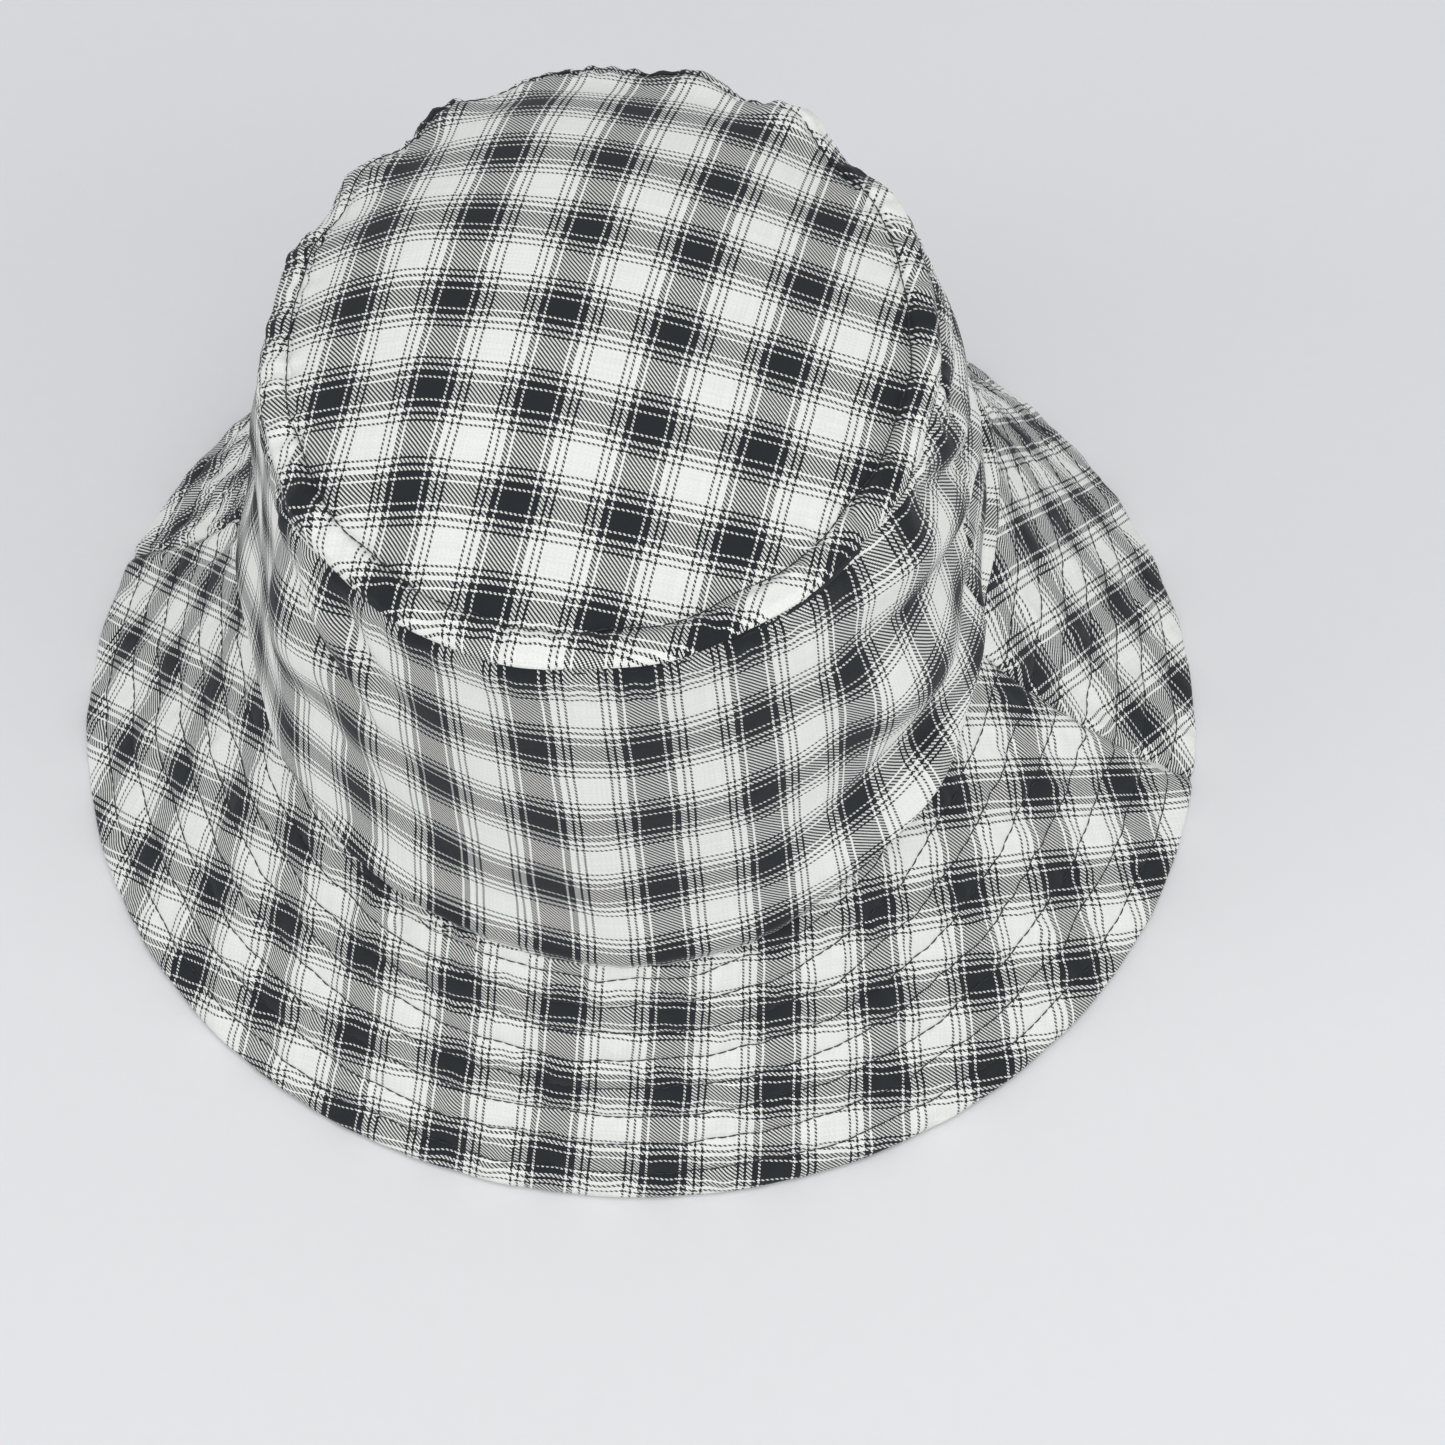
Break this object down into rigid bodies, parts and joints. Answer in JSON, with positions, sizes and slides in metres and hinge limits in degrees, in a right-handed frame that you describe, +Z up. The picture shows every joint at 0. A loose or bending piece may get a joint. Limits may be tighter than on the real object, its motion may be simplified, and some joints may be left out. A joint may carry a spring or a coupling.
{
  "type": "bucket hat",
  "caption": "Soft cotton bucket hat in a small check, with a domed oval top, a slouching crown wall and a wide sloping stitched brim.",
  "frame": {"origin": "on the surface the hat stands on, at the middle of the brim edge's box", "axes": "+Z up through the crown, -Y to the front of the hat, +X across it"},
  "size_m": [0.286, 0.269, 0.1721],
  "materials": {
    "plaid_cloth": "yarn-dyed cotton twill in an off-white and near-black check, matt",
    "lining_cloth": "plain dark cotton poplin, matt",
    "interlining": "white non-woven interlining",
    "sweatband_cloth": "black cotton herringbone tape, matt",
    "thread": "dark grey spun polyester sewing thread",
    "label_tape": "white woven satin label tape, blank"
  },
  "bodies": {
    "hat": {"brim_interlining_back": "interlining", "brim_interlining_front": "interlining", "brim_stitch_row_1": "thread", "brim_stitch_row_2": "thread", "brim_stitch_row_3": "thread", "brim_stitch_row_4": "thread", "brim_stitch_row_5": "thread", "brim_stitch_row_6": "thread", "brim_stitch_row_7": "thread", "brim_stitch_row_8": "thread", "brim_top_back": "plaid_cloth", "brim_top_front": "plaid_cloth", "brim_under_back": "plaid_cloth", "brim_under_front": "plaid_cloth", "care_label_end": "label_tape", "crown_side_back": "plaid_cloth", "crown_side_front": "plaid_cloth", "crown_tip": "plaid_cloth", "lining_side_back": "lining_cloth", "lining_side_front": "lining_cloth", "lining_tip": "lining_cloth", "size_label": "label_tape", "sweatband": "sweatband_cloth", "tip_topstitch": "thread"},
    "label_flap": {"care_label": "label_tape"}
  },
  "joints": [
    {"name": "care_label_swing", "type": "hinge", "parent": "hat", "child": "label_flap", "pos_m": [-0.00244, 0.09544, 0.08586], "axis": [-1, 0, 0], "range_deg": [0, 110]}
  ]
}
